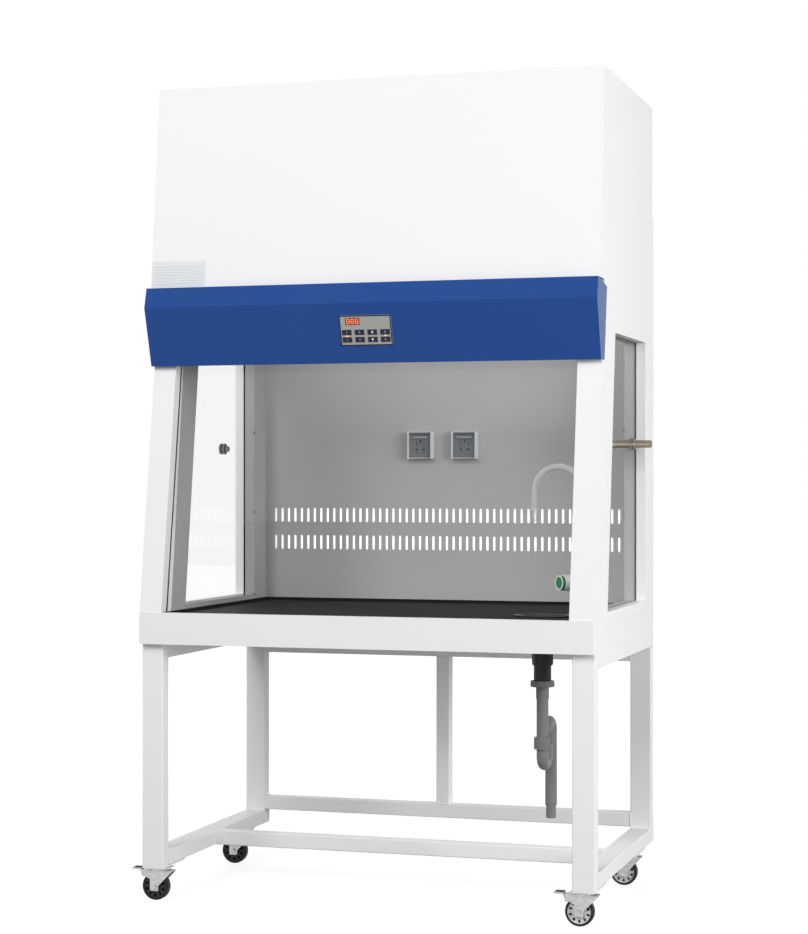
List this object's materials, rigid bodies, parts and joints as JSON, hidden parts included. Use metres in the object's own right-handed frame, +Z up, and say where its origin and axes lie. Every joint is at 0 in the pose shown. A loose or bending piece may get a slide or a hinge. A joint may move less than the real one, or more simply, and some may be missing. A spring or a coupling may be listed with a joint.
{
  "type": "ducted fume hood",
  "caption": "Wheeled ducted fume hood: open tube stand, black worktop with cup sink and drain trap, side windows, sliding glass sash, slotted back baffle, blue control fascia, blower housing.",
  "frame": {"origin": "on the floor, under the centre of the 1240 mm wide and 830 mm deep cabinet", "axes": "+Z up, +X to the right of a user who faces the sash, +Y to the back"},
  "size_m": [1.305, 0.83, 2.238],
  "materials": {
    "frame_paint": "satin",
    "housing_paint": "satin",
    "fascia_paint": "gloss",
    "liner_paint": "satin",
    "clear_glass": "polished",
    "gasket_rubber": "matt",
    "zinc_steel": "zinc plated",
    "caster_plastic": "matt",
    "worktop_resin": "satin",
    "black_plastic": "matt",
    "grey_pipe": "satin",
    "chrome_tube": "polished",
    "green_plastic": "gloss",
    "valve_paint": "gloss",
    "tap_brass": "satin",
    "socket_plastic": "gloss",
    "cover_plastic": "gloss",
    "keypad_metal": "satin",
    "key_plastic": "gloss",
    "display_plastic": "gloss",
    "board_green": "satin",
    "lamp_white": "gloss",
    "drive_steel": "machined",
    "guide_aluminium": "anodised",
    "belt_rubber": "matt",
    "motor_iron": "painted"
  },
  "bodies": {
    "hood": {"base_frame": "frame_paint", "caster_heads": "zinc_steel", "table_apron": "housing_paint", "table_underframe": "zinc_steel", "worktop": "worktop_resin", "sink_cup": "black_plastic", "drain_adapter": "black_plastic", "drain_trap": "grey_pipe", "front_posts": "housing_paint", "side_panels": "housing_paint", "chamber_liner": "liner_paint", "side_window_glass": "clear_glass", "side_window_gaskets": "gasket_rubber", "back_baffle": "liner_paint", "rear_panel": "housing_paint", "ceiling_lamp": "lamp_white", "housing_front_cover": "housing_paint", "housing_top_panel": "housing_paint", "exhaust_collar": "zinc_steel", "control_fascia": "fascia_paint", "keypad_plate": "keypad_metal", "display_window": "display_plastic", "control_board": "board_green", "socket_boxes": "socket_plastic", "water_fittings": "valve_paint", "side_ports": "tap_brass", "sash_guides": "guide_aluminium", "sash_belts": "belt_rubber", "sash_motor": "motor_iron", "blower_scroll": "zinc_steel", "blower_motor": "motor_iron", "cable_gland": "black_plastic"},
    "sash": {"sash_glass": "clear_glass", "sash_top_rail": "guide_aluminium"},
    "drive": {"drive_shaft": "drive_steel"},
    "idler": {"idler_shaft": "drive_steel"},
    "pedal_left": {"brake_pedal_left": "zinc_steel"},
    "pedal_right": {"brake_pedal_right": "zinc_steel"},
    "socket_flap_left": {"socket_cover_left": "cover_plastic"},
    "socket_flap_right": {"socket_cover_right": "cover_plastic"},
    "spout": {"faucet_gooseneck": "chrome_tube"},
    "water_valve_knob": {"water_knob": "green_plastic"},
    "gas_lever": {"gas_tap_lever": "tap_brass"},
    "fan": {"blower_wheel": "drive_steel"},
    "fork_front_left": {"caster_fork_front_left": "zinc_steel"},
    "wheel_front_left": {"caster_wheel_front_left": "caster_plastic"},
    "fork_front_right": {"caster_fork_front_right": "zinc_steel"},
    "wheel_front_right": {"caster_wheel_front_right": "caster_plastic"},
    "fork_rear_left": {"caster_fork_rear_left": "zinc_steel"},
    "wheel_rear_left": {"caster_wheel_rear_left": "caster_plastic"},
    "fork_rear_right": {"caster_fork_rear_right": "zinc_steel"},
    "wheel_rear_right": {"caster_wheel_rear_right": "caster_plastic"},
    "button_1": {"key_1": "key_plastic"},
    "button_2": {"key_2": "key_plastic"},
    "button_3": {"key_3": "key_plastic"},
    "button_4": {"key_4": "key_plastic"},
    "button_5": {"key_5": "key_plastic"},
    "button_6": {"key_6": "key_plastic"},
    "button_7": {"key_7": "key_plastic"},
    "button_8": {"key_8": "key_plastic"}
  },
  "joints": [
    {"name": "sash_slide", "type": "slide", "parent": "hood", "child": "sash", "axis": [0, 0.152, 0.9884], "range_m": [-0.238, 0.388]},
    {"name": "drive_turn", "type": "hinge", "parent": "hood", "child": "drive", "pos_m": [0, -0.12884, 2.15483], "axis": [1, 0, 0], "range_deg": [-1120, 690]},
    {"name": "idler_turn", "type": "hinge", "parent": "hood", "child": "idler", "pos_m": [0, -0.23423, 1.46964], "axis": [1, 0, 0], "range_deg": [-1120, 690]},
    {"name": "swivel_front_left", "type": "hinge", "parent": "hood", "child": "fork_front_left", "pos_m": [-0.583, -0.363, 0.08], "axis": [0, 0, 1], "continuous": true},
    {"name": "roll_front_left", "type": "hinge", "parent": "fork_front_left", "child": "wheel_front_left", "pos_m": [-0.5915, -0.363, 0.0375], "axis": [0, 1, 0], "continuous": true},
    {"name": "swivel_front_right", "type": "hinge", "parent": "hood", "child": "fork_front_right", "pos_m": [0.583, -0.363, 0.08], "axis": [0, 0, 1], "continuous": true},
    {"name": "roll_front_right", "type": "hinge", "parent": "fork_front_right", "child": "wheel_front_right", "pos_m": [0.5745, -0.363, 0.0375], "axis": [0, 1, 0], "continuous": true},
    {"name": "swivel_rear_left", "type": "hinge", "parent": "hood", "child": "fork_rear_left", "pos_m": [-0.583, 0.214, 0.08], "axis": [0, 0, 1], "continuous": true},
    {"name": "roll_rear_left", "type": "hinge", "parent": "fork_rear_left", "child": "wheel_rear_left", "pos_m": [-0.5915, 0.214, 0.0375], "axis": [0, 1, 0], "continuous": true},
    {"name": "swivel_rear_right", "type": "hinge", "parent": "hood", "child": "fork_rear_right", "pos_m": [0.583, 0.214, 0.08], "axis": [0, 0, 1], "continuous": true},
    {"name": "roll_rear_right", "type": "hinge", "parent": "fork_rear_right", "child": "wheel_rear_right", "pos_m": [0.5745, 0.214, 0.0375], "axis": [0, 1, 0], "continuous": true},
    {"name": "brake_left", "type": "hinge", "parent": "fork_front_left", "child": "pedal_left", "pos_m": [-0.624, -0.363, 0.0725], "axis": [0, 1, 0], "range_deg": [-10, 0]},
    {"name": "brake_right", "type": "hinge", "parent": "fork_front_right", "child": "pedal_right", "pos_m": [0.542, -0.363, 0.0725], "axis": [0, 1, 0], "range_deg": [-10, 0]},
    {"name": "press_1", "type": "slide", "parent": "hood", "child": "button_1", "axis": [0, 0.9553, 0.2958], "range_m": [0, 0.0008], "stiffness_N_per_m": 400, "springref_m": -0.0005},
    {"name": "press_2", "type": "slide", "parent": "hood", "child": "button_2", "axis": [0, 0.9553, 0.2958], "range_m": [0, 0.0008], "stiffness_N_per_m": 400, "springref_m": -0.0005},
    {"name": "press_3", "type": "slide", "parent": "hood", "child": "button_3", "axis": [0, 0.9553, 0.2958], "range_m": [0, 0.0008], "stiffness_N_per_m": 400, "springref_m": -0.0005},
    {"name": "press_4", "type": "slide", "parent": "hood", "child": "button_4", "axis": [0, 0.9553, 0.2958], "range_m": [0, 0.0008], "stiffness_N_per_m": 400, "springref_m": -0.0005},
    {"name": "press_5", "type": "slide", "parent": "hood", "child": "button_5", "axis": [0, 0.9553, 0.2958], "range_m": [0, 0.0008], "stiffness_N_per_m": 400, "springref_m": -0.0005},
    {"name": "press_6", "type": "slide", "parent": "hood", "child": "button_6", "axis": [0, 0.9553, 0.2958], "range_m": [0, 0.0008], "stiffness_N_per_m": 400, "springref_m": -0.0005},
    {"name": "press_7", "type": "slide", "parent": "hood", "child": "button_7", "axis": [0, 0.9553, 0.2958], "range_m": [0, 0.0008], "stiffness_N_per_m": 400, "springref_m": -0.0005},
    {"name": "press_8", "type": "slide", "parent": "hood", "child": "button_8", "axis": [0, 0.9553, 0.2958], "range_m": [0, 0.0008], "stiffness_N_per_m": 400, "springref_m": -0.0005},
    {"name": "flap_left", "type": "hinge", "parent": "hood", "child": "socket_flap_left", "pos_m": [-0.0675, 0.367, 1.269], "axis": [1, 0, 0], "range_deg": [-110, 0]},
    {"name": "flap_right", "type": "hinge", "parent": "hood", "child": "socket_flap_right", "pos_m": [0.0675, 0.367, 1.269], "axis": [1, 0, 0], "range_deg": [-110, 0]},
    {"name": "spout_swivel", "type": "hinge", "parent": "hood", "child": "spout", "pos_m": [0.536, -0.153, 0.8], "axis": [0, 0, 1], "range_deg": [-80, 80]},
    {"name": "water_turn", "type": "hinge", "parent": "hood", "child": "water_valve_knob", "pos_m": [0.5204, -0.3286, 0.869], "axis": [-0.7071, -0.7071, 0], "range_deg": [0, 540]},
    {"name": "gas_turn", "type": "hinge", "parent": "hood", "child": "gas_lever", "pos_m": [0.53, 0.253, 1.26], "axis": [0, 0, 1], "range_deg": [0, 90]},
    {"name": "fan_spin", "type": "hinge", "parent": "hood", "child": "fan", "pos_m": [0, 0.12983, 1.88], "axis": [1, 0, 0], "continuous": true}
  ],
  "couplings": [
    {"joint": "drive_turn", "follows": "sash_slide", "rad_per_m": -50},
    {"joint": "idler_turn", "follows": "sash_slide", "rad_per_m": -50}
  ]
}
